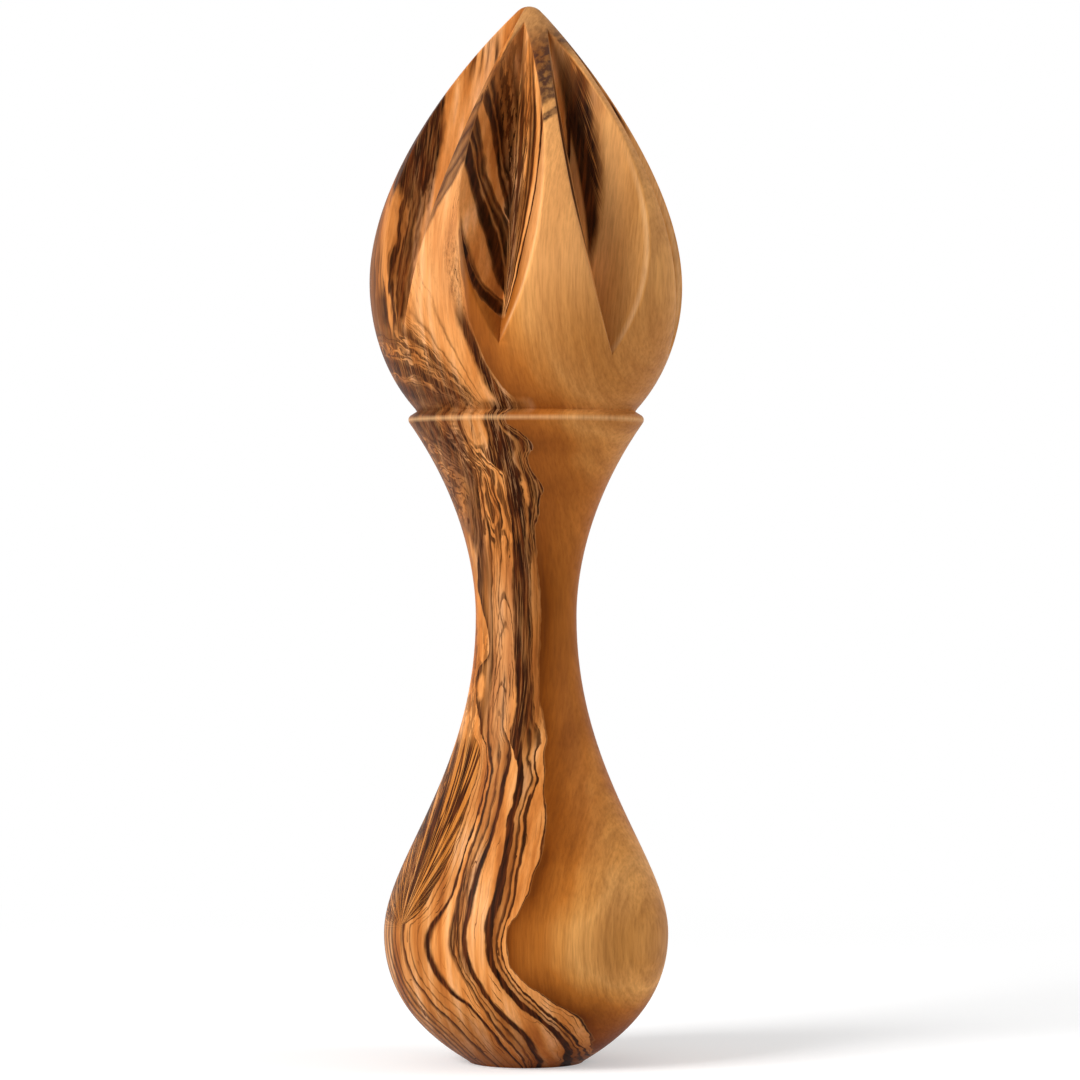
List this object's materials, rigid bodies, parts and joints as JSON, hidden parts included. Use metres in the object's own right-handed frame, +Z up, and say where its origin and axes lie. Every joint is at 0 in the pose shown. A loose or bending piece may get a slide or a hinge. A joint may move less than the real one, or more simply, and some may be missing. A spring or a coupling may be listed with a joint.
{
  "type": "citrus reamer",
  "caption": "Hand-held wooden citrus reamer with a pointed fluted head, a grooved collar, a slender waist and a rounded bulb end that stands on a flat foot.",
  "frame": {"origin": "centre of the flat foot, on the surface that the reamer stands on", "axes": "+Z up the turning axis towards the pointed tip, -Y out through the middle of one flute"},
  "size_m": [0.0468, 0.0468, 0.16],
  "materials": {
    "olive_wood": "smooth turned and fluted olive wood with a satin oiled finish"
  },
  "bodies": {
    "root": {"reamer": "olive_wood"}
  },
  "joints": []
}
